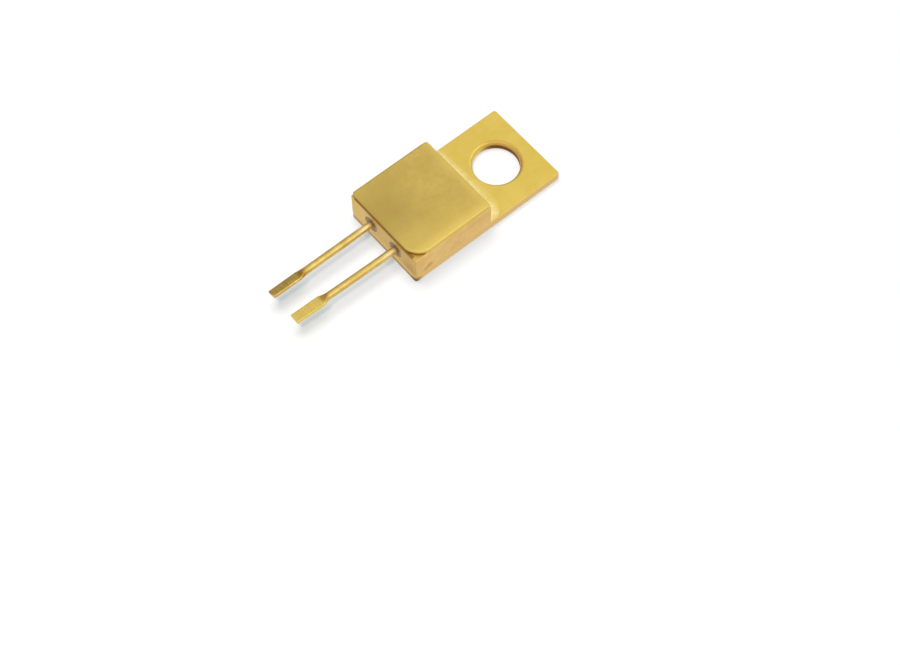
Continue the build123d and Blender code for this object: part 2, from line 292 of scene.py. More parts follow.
class EffectLibrary:
    """Shader node groups that several finishes share, each built once."""

    def __init__(self) -> None:
        """Builds every group."""
        centre = {"Centre": (0.0, 0.0, 0.0)}
        box = {**centre, "Half": (1.0, 1.0, 1.0), "Width": MM}
        self.clouds = self._group("cloudy_tone", clouds, {"Size": MM})
        self.grain = self._group("plating_grain", grain, {"Size": 0.05 * MM, "Stretch": Grain.EVEN.value})
        self.edge_wear_and_highlight = self._group("edge_wear_and_highlight_group", edge_wear_and_highlight, {"Gain": 1.0})
        self.hairlines = self._group("hairline_scratches", hairlines, {"Size": MM})
        self.shapes = {
            Shape.BAND: self._group("outline_band", band, box),
            Shape.BLOT: self._group("blot", blot, {**centre, "Width": MM}),
            Shape.ZONE: self._group("soft_zone", zone, {**box, "Ragged": 0.0}),
            Shape.BORE: self._group("bore_wall", bore, box),
        }

    @staticmethod
    def _group(name: str, build: Callable[[Graph, Sockets], Sockets],
               inputs: dict[str, Any]) -> NodeTree:
        """Makes a group that takes the place on the part and some values.

        Args:
            name: The group's name.
            build: Adds the nodes between the inputs and the outputs, which are single values.
            inputs: Default value of each input besides the place, a number or three.

        Returns:
            The group's tree.
        """
        tree = bpy.data.node_groups.new(name, "ShaderNodeTree")
        for label, value in {"Vector": (0.0, 0.0, 0.0), **inputs}.items():
            kind = "NodeSocketVector" if isinstance(value, tuple) else "NodeSocketFloat"
            socket = tree.interface.new_socket(label, in_out="INPUT", socket_type=kind)
            socket.default_value = value
        given = tree.nodes.new("NodeGroupInput")
        out = tree.nodes.new("NodeGroupOutput")
        for label, socket in build(Graph(tree), dict(given.outputs.items())).items():
            tree.interface.new_socket(label, in_out="OUTPUT", socket_type="NodeSocketFloat")
            tree.links.new(socket, out.inputs[label])
        return tree


# ---- finishes ----


@dataclass(frozen=True)
class Patch:
    """A place on a part whose colour differs from the rest: real marks, and painted shade and highlights.

    Half is half a box's size, or a bore's radius and height. Width is how far the edge fades, or a
    blot's radius. Roughness is added to the finish's own.
    """

    shape: Shape
    centre: Place
    tone: Tone
    strength: float
    half: Place = (MM, MM, MM)
    width: float = MM
    roughness: float = 0.0
    ragged: float = 0.0

    def mask(self, graph: Graph, effects: EffectLibrary, place: NodeSocket) -> NodeSocket:
        """Returns how much of the patch shows at each point."""
        made = graph.use(effects.shapes[self.shape], Vector=place, Centre=self.centre, Half=self.half,
                         Width=self.width, Ragged=self.ragged)
        return graph.maths("MULTIPLY", made["Mask"], self.strength)


@dataclass(frozen=True)
class PlatedFinish:
    """Gold plating on one part: its tones, grain, roughness and wear, and the painted shade and highlights
    in its patches and edges.
    """

    name: str
    tone: Tone
    cloud_tone: Tone
    edge_tone: Tone
    roughness: float = 0.36
    roughness_swing: float = 0.08
    cloud_size: float = 2.2 * MM
    grain: Grain = Grain.EVEN
    grain_size: float = 0.06 * MM
    grain_depth: float = 1.2e-6
    grain_shade: float = 0.08
    grain_dark: float = 0.55
    hairlines: float = 0.25
    hairline_size: float = 1.6 * MM
    edge_gain: float = 0.7
    edge_polish: float = 0.08
    patches: tuple[Patch, ...] = ()

    def material(self, effects: EffectLibrary) -> Material:
        """Builds the material, which reads Object coordinates only."""
        made, graph = new_material(self.name)
        place = graph.node("TexCoord").outputs["Object"]
        cloudy = graph.use(effects.clouds, Vector=place, Size=self.cloud_size)["Mask"]
        tooth = graph.use(effects.grain, Vector=place, Size=self.grain_size, Stretch=self.grain.value)
        scratches = graph.use(effects.hairlines, Vector=place, Size=self.hairline_size)["Mask"]
        edges = graph.use(effects.edge_wear_and_highlight, Vector=place, Gain=self.edge_gain)["Mask"]

        dark = graph.maths("MULTIPLY", tooth["Shade"], self.grain_shade)
        tone = linear(self.tone)
        colour = graph.blend(cloudy, tone, linear(self.cloud_tone))
        colour = graph.blend(dark, colour, tuple(self.grain_dark * channel for channel in tone))
        rough = graph.maths("MULTIPLY_ADD", cloudy, self.roughness_swing, self.roughness)
        for patch in self.patches:
            share = patch.mask(graph, effects, place)
            colour = graph.blend(share, colour, linear(patch.tone))
            rough = graph.maths("MULTIPLY_ADD", share, patch.roughness, rough)
        # Edge tone: rubbed wear, and a painted highlight along the edges.
        colour = graph.blend(edges, colour, linear(self.edge_tone))
        rough = graph.maths("MULTIPLY_ADD", edges, -self.edge_polish, rough)
        rough = graph.maths("MULTIPLY_ADD", scratches, 0.5 * self.hairlines, rough, clamp=True)

        height = graph.maths("MULTIPLY_ADD", scratches, -self.hairlines, tooth["Height"])
        graph.skin(height, self.grain_depth, {"Base Color": colour, "Roughness": rough, "Metallic": 1.0})
        return made


@dataclass(frozen=True)
class FiredFinish:
    """Glass, ceramic, solder or adhesive: mottled colour over a pitted or glossy skin."""

    name: str
    tone: Tone
    mottle: Tone
    roughness: float
    roughness_swing: float = 0.12
    mottle_size: float = 0.5 * MM
    grain_size: float = 0.05 * MM
    grain_depth: float = 1.0e-6
    metallic: float = 0.0
    coat: float = 0.0
    coat_roughness: float = 0.08
    alpha: float = 1.0
    patches: tuple[Patch, ...] = ()

    def material(self, effects: EffectLibrary) -> Material:
        """Builds the material from the shared clouds and grain."""
        made, graph = new_material(self.name)
        place = graph.node("TexCoord").outputs["Object"]
        cloudy = graph.use(effects.clouds, Vector=place, Size=self.mottle_size)["Mask"]
        tooth = graph.use(effects.grain, Vector=place, Size=self.grain_size)
        colour = graph.blend(cloudy, linear(self.tone), linear(self.mottle))
        for patch in self.patches:
            colour = graph.blend(patch.mask(graph, effects, place), colour, linear(patch.tone))
        rough = graph.maths("MULTIPLY_ADD", tooth["Shade"], self.roughness_swing, self.roughness, clamp=True)
        graph.skin(tooth["Height"], self.grain_depth, {
            "Base Color": colour, "Roughness": rough, "Metallic": self.metallic, "Alpha": self.alpha,
            "Coat Weight": self.coat, "Coat Roughness": self.coat_roughness})
        return made


# ---- surfaces ----


def add_object(name: str, data: ID) -> Object:
    """Adds an object to the scene, at the origin."""
    made = bpy.data.objects.new(name, data)
    bpy.context.scene.collection.objects.link(made)
    return made


def closed_tube(name: str, rings: Array, capped: bool) -> Object:
    """Makes a closed mesh from a stack of rings.

    The rings are joined in order by quads. With caps, each end ring is closed by a fan to its own
    centre; without, the last ring joins the first, as in a ring-shaped solid.

    Args:
        name: The object's name.
        rings: Points, as stations by places round the ring by X, Y, Z, in metres.
        capped: True for a solid with two ends, False for one that closes on itself.

    Returns:
        The new object, at the origin.
    """
    stations, around, _ = rings.shape
    last = stations - 1 if capped else stations
    row, column = np.meshgrid(np.arange(last), np.arange(around), indexing="ij")
    after = (row + 1) % stations
    beside = (column + 1) % around
    quads = np.stack([row * around + column, row * around + beside,
                      after * around + beside, after * around + column], -1).reshape(-1, 4)
    points = rings.reshape(-1, 3)
    faces = quads.tolist()
    if capped:
        pole, end = len(points), len(points) - around
        points = np.vstack([points, rings[0].mean(0), rings[-1].mean(0)])
        steps = [(place, (place + 1) % around) for place in range(around)]
        faces += [(pole, following, place) for place, following in steps]
        faces += [(pole + 1, end + place, end + following) for place, following in steps]
    mesh = bpy.data.meshes.new(name)
    mesh.from_pydata(points.tolist(), [], faces)
    mesh.polygons.foreach_set("use_smooth", np.ones(len(mesh.polygons), dtype=bool))
    mesh.validate()
    if signed_volume(mesh) < 0:
        mesh.flip_normals()
    return add_object(name, mesh)


def signed_volume(mesh: Mesh) -> float:
    """Returns the volume that the faces enclose, below zero where they face inwards."""
    solid = bmesh.new()
    solid.from_mesh(mesh)
    volume = solid.calc_volume(signed=True)
    solid.free()
    return volume


def ease(share: Array) -> Array:
    """Smooth step from 0 to 1, level at both ends."""
    held = np.clip(share, 0.0, 1.0)
    return held * held * (3 - 2 * held)


@dataclass
class Lead:
    """A drawn wire with a coined tip outside the case and a bonding flat inside it."""

    side: Side
    roll: float = 0.0
    lean: float = 0.0
    wire: float = 0.81 * MM
    tip_length: float = 3.9 * MM
    shoulder: float = 0.6 * MM
    tip_half: float = 0.62 * MM
    tip_end_half: float = 0.6 * MM
    bulge_half: float = 0.3 * MM
    coined_half: float = 0.19 * MM
    runout: float = 0.32
    post_flat: float = 1.0 * MM
    post_cut: float = 0.2 * MM
    edge_round: float = 0.035 * MM
    die_relief: float = 0.2 * MM
    relief_length: float = 0.15 * MM
    twist_length: float = 0.3 * MM
    lean_power: float = 1.3
    ridge_pitch: float = 0.34 * MM
    ridge_depth: float = 0.03 * MM
    ridge_fade: float = 0.25 * MM
    stations: tuple[int, int, int, int] = (7, 190, 60, 12)
    around: int = 96
    seed: int = 0

    def _places(self, start: float, end: float) -> Array:
        """X of each station: close together over the blade, its shoulder and the post's flat."""
        neck = start + self.tip_length
        flat = end - self.post_flat
        edge = self.edge_round
        ends, blade, shank, post = self.stations
        fade = edge * (1 - np.sin(np.linspace(0.0, math.pi / 2, ends)))
        return np.unique(np.concatenate([
            start + fade, np.linspace(start + edge, neck, blade),
            np.linspace(neck, flat - 0.01 * MM, shank), np.linspace(flat, end - edge, post), end - fade]))

    def _ridges(self, x: Array, side: Array, start: float) -> Array:
        """Depth of the dies' cross ridges, which wander a little and are pressed in unevenly."""
        phase = np.random.default_rng(self.seed).uniform(0, 2 * math.pi, 4)
        wander = 0.12 * np.sin(side / (0.31 * MM) + phase[0]) + 0.3 * np.sin(x / (1.3 * MM) + phase[1])
        ridge = 0.5 + 0.5 * np.sin(2 * math.pi * (x - start) / self.ridge_pitch + 2 * wander)
        return self.ridge_depth * ridge * (
            0.65 + 0.35 * np.sin(x / (0.53 * MM) + side / (0.4 * MM) + phase[2]))

    def surface(self, start: float, face: float, end: float, y: float, z: float) -> Array:
        """Works out the wire's skin.

        Each station is an ellipse squeezed between two dies. Its half width and half height run from
        the wire's radius to the blade's over the shoulder; its height is then held under the dies'
        gap by a soft minimum, which leaves rounded edges. The dies' fine cross ridges are a sine
        along the wire, pressed only into the coined flats. Both ends are drawn in along a quarter
        circle. Outside the case the axis leans sideways by a power of the way to the tip.

        Args:
            start: X of the tip's end.
            face: X of the wall that the wire leaves.
            end: X of the post's end.
            y: Y of the wire's axis.
            z: Height of the wire's axis.

        Returns:
            Points, stations by places round the wire by X, Y, Z.
        """
        x = self._places(start, end)[:, None]
        radius = self.wire / 2
        neck = start + self.tip_length
        blade = neck - self.shoulder
        along = np.clip((x - start) / (blade - start), 0.0, 1.0)
        rise = np.clip((x - blade) / self.shoulder, 0.0, 1.0)
        half_width = np.where(x < blade, self.tip_end_half + along * (self.tip_half - self.tip_end_half),
                              self.tip_half + rise * (radius - self.tip_half))
        half_height = self.bulge_half + rise * (radius - self.bulge_half)
        bow = rise + (4 * self.runout - 2) * rise * (1 - rise)
        gap = self.coined_half + bow * (radius - self.coined_half)
        gap = gap + self.die_relief * ease((x - neck) / self.relief_length + 1)
        upper = np.where(x > end - self.post_flat, radius - self.post_cut, gap)

        angle = np.linspace(0.0, 2 * math.pi, self.around, endpoint=False)
        side = half_width * np.cos(angle)
        free = half_height * np.sin(angle)
        limit = np.where(free > 0, upper, gap)
        soft = self.edge_round / 2
        size = np.abs(free)
        squeezed = np.maximum((size + limit - np.sqrt((size - limit) ** 2 + soft**2)) / 2, 0.0)
        on_blade = ease((x - start) / self.ridge_fade) * ease((blade + self.ridge_fade - x) / (0.4 * MM))
        on_flat = ease((size - limit) / (0.05 * MM) + 0.4)
        pressed = self._ridges(x, side, start) * on_blade * on_flat
        height = np.sign(free) * np.maximum(squeezed - pressed, 0.0)

        edge = self.edge_round
        to_end = np.clip(np.minimum(x - start, end - x) / edge, 0.0, 1.0)
        inset = edge * (1 - np.sqrt(np.clip(1 - (1 - to_end) ** 2, 0.0, 1.0)))
        side = side * (1 - inset / half_width)
        height = height * (1 - inset / np.maximum(np.abs(height).max(1, keepdims=True), edge))

        turn = math.radians(self.roll) * (1 - ease((x - neck) / self.twist_length + 1))
        across = side * np.cos(turn) - height * np.sin(turn)
        up = side * np.sin(turn) + height * np.cos(turn)
        outside = np.clip((face - x) / (face - start), 0.0, 1.0)
        middle = y + self.lean * outside**self.lean_power
        return np.stack([np.broadcast_to(x, across.shape), middle + across, z + up], -1)

    def build(self) -> Object:
        """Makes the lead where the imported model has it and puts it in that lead's place."""
        node = f"{self.side.value}_lead"
        low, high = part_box(node)
        seal_low, seal_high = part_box(f"{self.side.value}_seal_glass")
        axis = (seal_low + seal_high) / 2
        made = closed_tube(f"{node}_wire", self.surface(low.x, seal_low.x, high.x, axis.y, axis.z),
                           capped=True)
        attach(made, "root")
        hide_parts(node)
        return made


@dataclass
class SealGlass:
    """A glass bead fused between a lead and the wall, hollow on both faces."""

    side: Side
    wire: float = 0.81 * MM
    bead: float = 1.9 * MM
    sag: float = 0.08 * MM
    climb: float = 0.035 * MM
    climb_reach: float = 0.12
    around: int = 96
    across: int = 20

    def surface(self, front: float, back: float, y: float, z: float) -> Array:
        """Works out the bead's skin.

        A closed profile turns about the lead's axis. Each face sags by a parabola between the wall
        and the lead, and near the lead it climbs the wire by an exponential, as molten glass does.

        Args:
            front: X of the wall's outer face.
            back: X of the wall's inner face.
            y: Y of the lead's axis.
            z: Height of the lead's axis.

        Returns:
            Points, places along the profile by places round the bead by X, Y, Z.
        """
        inner, outer = self.wire / 2, self.bead / 2
        share = np.linspace(0.0, 1.0, self.across)
        radius = outer + share * (inner - outer)
        hollow = self.sag * 4 * share * (1 - share)
        lift = self.climb * (np.exp((share - 1) / self.climb_reach) - math.exp(-1 / self.climb_reach))
        x = np.concatenate([front + hollow - lift, (back - hollow + lift)[::-1]])
        r = np.concatenate([radius, radius[::-1]])[:, None]
        angle = np.linspace(0.0, 2 * math.pi, self.around, endpoint=False)
        across, up = r * np.cos(angle), r * np.sin(angle)
        return np.stack([np.broadcast_to(x[:, None], up.shape), y + across, z + up], -1)

    def build(self) -> Object:
        """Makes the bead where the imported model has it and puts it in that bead's place."""
        node = f"{self.side.value}_seal_glass"
        low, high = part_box(node)
        axis = (low + high) / 2
        made = closed_tube(f"{node}_bead", self.surface(low.x, high.x, axis.y, axis.z), capped=False)
        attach(made, "root")
        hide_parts(node)
        return made


# ---- sub-assemblies ----


def dress(obj: Object, material: Material) -> None:
    """Gives an object one material in its first slot and reports it."""
    if obj.data.materials:
        obj.data.materials[0] = material
    else:
        obj.data.materials.append(material)
    LOG.info("%s in %s, %d faces", obj.name, material.name, len(obj.data.polygons))


@dataclass
class Lid:
    """The welded lid: rolled rim, margins that fall away at the back and right, spigot below."""

    edge_radius: float = 0.25 * MM
    margin_width: float = 1.1 * MM
    margin_drop: float = 0.14 * MM
    corner_radius: float = 0.3 * MM
    index_radius: float = 1.9 * MM
    spigot_inset: float = 1.15 * MM
    spigot_radius: float = 0.6 * MM
    dishing: float = 0.0035 * MM
    per_corner: int = 24
    per_side: int = 44
    roll_rings: int = 13
    face_rings: int = 56
    face_reach: float = 0.985
    face_bunching: float = 1.25

    def outline(self, low: Vector, high: Vector, radii: tuple[float, ...]) -> tuple[Array, Array]:
        """Walks round a rectangle with its own radius at each corner.

        Each corner is a quarter circle about its own centre, and the straight sides run evenly from
        one arc's end to the next arc's start.

        Args:
            low: Lowest corner of the rectangle.
            high: Highest corner of the rectangle.
            radii: Radius at the front right, back right, back left and front left corner.

        Returns:
            Points and outward normals, places by X, Y.
        """
        signs = np.array([(-1, -1), (1, -1), (1, 1), (-1, 1)], float)
        corner = np.where(signs < 0, (low.x, low.y), (high.x, high.y))
        radius = np.array(radii)[:, None]
        centre = corner - signs * radius
        start = np.array([math.pi, 1.5 * math.pi, 0.0, 0.5 * math.pi])[:, None]
        angle = start + np.linspace(0.0, math.pi / 2, self.per_corner)
        normal = np.stack([np.cos(angle), np.sin(angle)], -1)
        arc = centre[:, None] + radius[:, None] * normal
        share = np.linspace(0.0, 1.0, self.per_side + 2)[1:-1, None]
        run = arc[:, None, -1] * (1 - share) + np.roll(arc, -1, axis=0)[:, None, 0] * share
        level = np.broadcast_to(normal[:, None, -1], run.shape)
        return (np.concatenate([arc, run], 1).reshape(-1, 2),
                np.concatenate([normal, level], 1).reshape(-1, 2))

    def height(self, points: Array, low: Vector, high: Vector) -> Array:
        """Height of the upper face.

        It is level over the crown and falls by the square of the way into the back and the right
        margin. Long low sine waves stand for the dishing that welding leaves.

        Args:
            points: Places as X, Y in the last axis.
            low: Lowest corner of the lid's box.
            high: Highest corner of the lid's box.

        Returns:
            Height of each place.
        """
        x, y = points[..., 0], points[..., 1]
        right = np.clip((low.y + self.margin_width - y) / self.margin_width, 0.0, 1.0)
        back = np.clip((x - high.x + self.margin_width) / self.margin_width, 0.0, 1.0)
        waves = (np.sin(x / (0.61 * MM) + 0.4) * np.sin(y / (0.83 * MM) + 1.1)
                 + 0.6 * np.sin(x / (0.37 * MM) - y / (0.52 * MM)) - 1.6)
        return high.z - self.margin_drop * (right**2 + back**2) + self.dishing * waves

    def surface(self, low: Vector, high: Vector, ring_low: Vector, ring_high: Vector) -> Array:
        """Works out the lid's skin as rings, from the spigot's underside round to the crown.

        The wall is upright, the rim is a quarter circle drawn in along the outline's normal, and the
        face's rings shrink towards the middle in proportion.

        Args:
            low: Lowest corner of the lid's box.
            high: Highest corner of the lid's box.
            ring_low: Lowest corner of the wall ring.
            ring_high: Highest corner of the wall ring, on whose top the lid lies.

        Returns:
            Points, rings by places by X, Y, Z.
        """
        foot, small = ring_high.z, self.corner_radius
        edge, normal = self.outline(low, high, (self.index_radius, small, small, small))
        inset = Vector((self.spigot_inset, self.spigot_inset, 0.0))
        spigot, _ = self.outline(ring_low + inset, ring_high - inset, (self.spigot_radius,) * 4)
        middle = edge.mean(0)

        def level(points: Array, z: Any) -> Array:
            """Puts a height, or one for each, on flat points."""
            return np.column_stack([points, np.broadcast_to(z, len(points))])

        rings = [level(spigot * 0.5 + spigot.mean(0) * 0.5, low.z), level(spigot, low.z),
                 level(spigot, foot), level(edge, foot)]
        roll = self.edge_radius
        inner = edge - normal * roll
        shoulder = self.height(inner, low, high)
        for share in (0.5, 0.9):
            rings.append(level(edge, foot + share * (shoulder - roll - foot)))
        for angle in np.linspace(0.0, math.pi / 2, self.roll_rings):
            place = edge - normal * roll * (1 - math.cos(angle))
            rings.append(level(place, shoulder - roll * (1 - math.sin(angle))))
        for share in 1 - (1 - np.linspace(0.0, self.face_reach, self.face_rings)[1:]) ** self.face_bunching:
            place = middle + (inner - middle) * (1 - share)
            rings.append(level(place, self.height(place, low, high)))
        return np.stack(rings)

    def build(self) -> Object:
        """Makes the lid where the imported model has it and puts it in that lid's place."""
        low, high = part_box("lid")
        made = closed_tube("lid_plate", self.surface(low, high, *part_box("sidewall_ring")), capped=True)
        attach(made, "root")
        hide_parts("lid")
        return made


@dataclass
class Case:
    """Plate, sidewall ring, braze and lid: the plated metal case."""

    plate: PlatedFinish = PlatedFinish(
        "plate_satin_gold", tone=(229, 201, 101), cloud_tone=(225, 196, 93),
        edge_tone=(236, 206, 112), roughness=0.4, cloud_size=3.2 * MM, grain=Grain.ALONG_X,
        grain_depth=1.0e-6, edge_gain=0.3)
    ring: PlatedFinish = PlatedFinish(
        "ring_satin_gold", tone=(231, 193, 117), cloud_tone=(223, 183, 107),
        edge_tone=(242, 216, 132), roughness=0.42, grain=Grain.UPRIGHT)
    # The braze's pale cream tone is partly its own, and partly a painted highlight for the light its concave
    # fillet catches.
    braze: PlatedFinish = PlatedFinish(
        "braze_gold_and_painted_highlight", tone=(242, 223, 154), cloud_tone=(235, 212, 130),
        edge_tone=(240, 216, 132), roughness=0.4, cloud_size=0.9 * MM, grain_size=0.12 * MM,
        grain_depth=0.8e-6, hairlines=0.1, edge_gain=0.1)
    # The lid's pale edge tone is a painted highlight along its rolled rim, over the rubbed edges.
    lid: PlatedFinish = PlatedFinish(
        "lid_matte_gold", tone=(213, 185, 101), cloud_tone=(208, 180, 95),
        edge_tone=(246, 226, 148), roughness=0.48, cloud_size=3.6 * MM, grain_size=0.1 * MM,
        grain_depth=2.4e-6, grain_shade=0.2, edge_gain=0.9)
    bore_radius: float = 2.49 * MM
    rim_radius: float = 0.3 * MM
    sharp: float = 0.06 * MM
    far: float = 9 * MM
    wall_tone: Tone = (222, 184, 112)
    # Painted shade along the front seam between lid and wall.
    seam_shade_tone: Tone = (146, 106, 46)
    blot_tone: Tone = (176, 126, 62)

    def plate_patches(self) -> tuple[Patch, ...]:
        """The plate's sheared sides, painted shade along the foot of its front and at its near corner, and
        painted shade over the bore's rim and down its +X wall.
        """
        low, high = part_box("base_plate")
        centre, half = (low + high) / 2, (high - low) / 2
        reach = self.bore_radius + self.rim_radius
        axis = (0.0, 0.0, 0.0)
        return (
            Patch(Shape.BAND, tuple(centre), self.wall_tone, 1.0, half=tuple(half), width=self.sharp),
            # Painted shade: a brown line along the foot of the front, and a darker near corner.
            Patch(Shape.ZONE, (low.x, 0.0, low.z), (104, 78, 30), 0.85,
                  half=(0.3 * MM, half.y + MM, 0.8 * MM), width=0.5 * MM, roughness=0.08, ragged=0.2 * MM),
            Patch(Shape.BLOT, tuple(low), (96, 72, 28), 0.85, width=1.1 * MM, roughness=0.08),
            # Painted shade in the bore on its +X side: tan over the rolled rim, dark brown down the wall.
            Patch(Shape.BORE, axis, (210, 168, 88), 0.8,
                  half=(reach, reach, high.z + 0.1 * MM), width=0.12 * MM, roughness=0.05),
            Patch(Shape.BORE, axis, (122, 80, 26), 1.0,
                  half=(reach, reach, high.z - 0.22 * MM), width=0.3 * MM, roughness=0.1))

    def wall_patches(self) -> tuple[Patch, ...]:
        """Painted shade on the front face and along its seam under the lid, a painted lighter left end of
        the front, a darker and browner near corner, and two blots on the right.
        """
        low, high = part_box("sidewall_ring")
        return (
            # Painted shade: the whole front face darker than the other sides.
            Patch(Shape.ZONE, (low.x, 0.0, low.z), (206, 172, 90), 0.95,
                  half=(0.12 * MM, 1.0, 1.0), width=0.08 * MM),
            # Painted light: the front's left end lightened against the shade it takes.
            Patch(Shape.ZONE, (low.x, high.y, low.z), (222, 190, 104), 0.8,
                  half=(2.0 * MM, 3.6 * MM, high.z), width=1.8 * MM),
            # Painted shade along the front seam below the lid's rim.
            Patch(Shape.ZONE, (low.x, 0.0, high.z), self.seam_shade_tone, 0.75,
                  half=(0.4 * MM, 4.6 * MM, 0.22 * MM), width=0.16 * MM, roughness=0.1, ragged=0.1 * MM),
            Patch(Shape.BLOT, (low.x - MM, low.y + MM, low.z + 0.4 * MM), (172, 128, 58), 0.85,
                  width=2.0 * MM),
            Patch(Shape.BLOT, (low.x + 1.8 * MM, low.y, low.z + 0.5 * MM), self.blot_tone, 0.55,
                  width=0.6 * MM),
            Patch(Shape.BLOT, (low.x + 1.3 * MM, low.y, low.z + 0.15 * MM), self.blot_tone, 0.5,
                  width=0.42 * MM))

    def braze_patches(self) -> tuple[Patch, ...]:
        """The braze's toe, thin enough to take the plate's tone, and its sides under the wall."""
        low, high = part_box("frame_braze")
        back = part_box("sidewall_ring")[1].x
        return (
            Patch(Shape.ZONE, (high.x, 0.0, low.z), self.plate.tone, 0.9,
                  half=(high.x - back - 1.25 * MM, high.y + MM, 2 * MM), width=0.6 * MM, ragged=0.9 * MM),
            Patch(Shape.BAND, (low.x, 0.0, (low.z + high.z) / 2), self.wall_tone, 1.0,
                  half=(high.x - low.x + MM, (high.y - low.y) / 2, 1.0), width=self.sharp))

    def lid_patches(self) -> tuple[Patch, ...]:
        """Painted shade over the front left, a painted highlight over the right and the margins, and painted
        shade along the front seam.
        """
        low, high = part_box("lid")
        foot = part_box("sidewall_ring")[1].z
        return (
            # Painted shade: the front left of the lid darker.
            Patch(Shape.ZONE, (low.x, 1.2 * MM, high.z), (191, 163, 87), 0.95,
                  half=(6.0 * MM, 5.0 * MM, self.far), width=4.4 * MM),
            # Painted highlight: the right of the lid lighter.
            Patch(Shape.ZONE, (high.x, low.y, high.z), (215, 187, 98), 0.75,
                  half=(12 * MM, 4.0 * MM, self.far), width=3.6 * MM),
            # Painted highlight along the margins, which are also a little glossier.
            Patch(Shape.BAND, (low.x, high.y, 0.0), (223, 195, 103), 0.6,
                  half=(high.x - low.x, high.y - low.y, 1.0), width=1.3 * MM, roughness=-0.06),
            # Painted shade along the front seam below the rim.
            Patch(Shape.ZONE, (low.x, 0.0, foot), self.seam_shade_tone, 0.85,
                  half=(1.4 * MM, 5.5 * MM, 0.34 * MM), width=0.2 * MM, roughness=0.1))

    def build(self, effects: EffectLibrary) -> None:
        """Makes the lid and dresses the case's nodes."""
        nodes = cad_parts
        for piece, finish, patches in (
                (nodes["base_plate"], self.plate, self.plate_patches()),
                (nodes["sidewall_ring"], self.ring, self.wall_patches()),
                (nodes["frame_braze"], self.braze, self.braze_patches()),
                (Lid().build(), self.lid, self.lid_patches())):
            dress(piece, replace(finish, patches=patches).material(effects))


@dataclass
class Terminals:
    """The two leads and their glass seals."""

    left_roll: float = -20.0
    right_lean: float = 0.24 * MM
    lead: PlatedFinish = PlatedFinish(
        "lead_drawn_gold", tone=(220, 192, 113), cloud_tone=(207, 174, 92),
        edge_tone=(240, 214, 124), roughness=0.28, grain=Grain.ALONG_X, cloud_size=0.9 * MM,
        grain_depth=1.2e-6, edge_gain=0.3)
    glass: FiredFinish = FiredFinish(
        "seal_dark_glass", tone=(150, 120, 78), mottle=(172, 138, 88), roughness=0.35, coat=0.1)
    # Painted shade on the seals' front faces, close round each wire.
    seal_shade_tone: Tone = (78, 66, 64)
    neck: float = 3.7 * MM
    # Painted shade where each blade's neck narrows.
    neck_shade_tone: Tone = (160, 112, 44)

    def build(self, effects: EffectLibrary) -> None:
        """Makes both leads and both seals."""
        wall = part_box("sidewall_ring")[0].x
        low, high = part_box("left_lead")
        blade = (4.2 * MM, high.y, MM)
        metal = [
            # Painted highlight: the leads paler and creamier towards the wall.
            Patch(Shape.ZONE, (wall, 0.0, 0.0), (240, 220, 168), 0.65,
                  half=(2.6 * MM, 1.0, 1.0), width=2.2 * MM, roughness=-0.05),
            # Painted shade over the rolled left blade.
            Patch(Shape.ZONE, (low.x, high.y, low.z), (174, 132, 46), 0.85,
                  half=blade, width=0.9 * MM, roughness=0.08, ragged=0.9 * MM),
            Patch(Shape.ZONE, (low.x, -high.y, low.z), (230, 203, 98), 0.85,
                  half=blade, width=0.9 * MM, ragged=1.4 * MM)]
        seal_shades = []
        wires = (Lead(Side.LEFT, roll=self.left_roll, seed=3),
                 Lead(Side.RIGHT, lean=self.right_lean, seed=4))
        for wire in wires:
            seal_low, seal_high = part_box(f"{wire.side.value}_seal_glass")
            axis = (seal_low + seal_high) / 2
            # Painted shade at the neck.
            metal.append(Patch(Shape.BLOT, (low.x + self.neck, axis.y + wire.lean, axis.z + 0.3 * MM),
                               self.neck_shade_tone, 0.8, width=0.75 * MM))
            # Painted shade round the wire on the seal's front face.
            seal_shades.append(Patch(Shape.BLOT, (seal_low.x, axis.y, axis.z), self.seal_shade_tone, 0.9,
                               width=0.95 * MM))
        gold = replace(self.lead, patches=tuple(metal)).material(effects)
        glass = replace(self.glass, patches=tuple(seal_shades)).material(effects)
        for wire in wires:
            dress(wire.build(), gold)
            dress(SealGlass(wire.side).build(), glass)


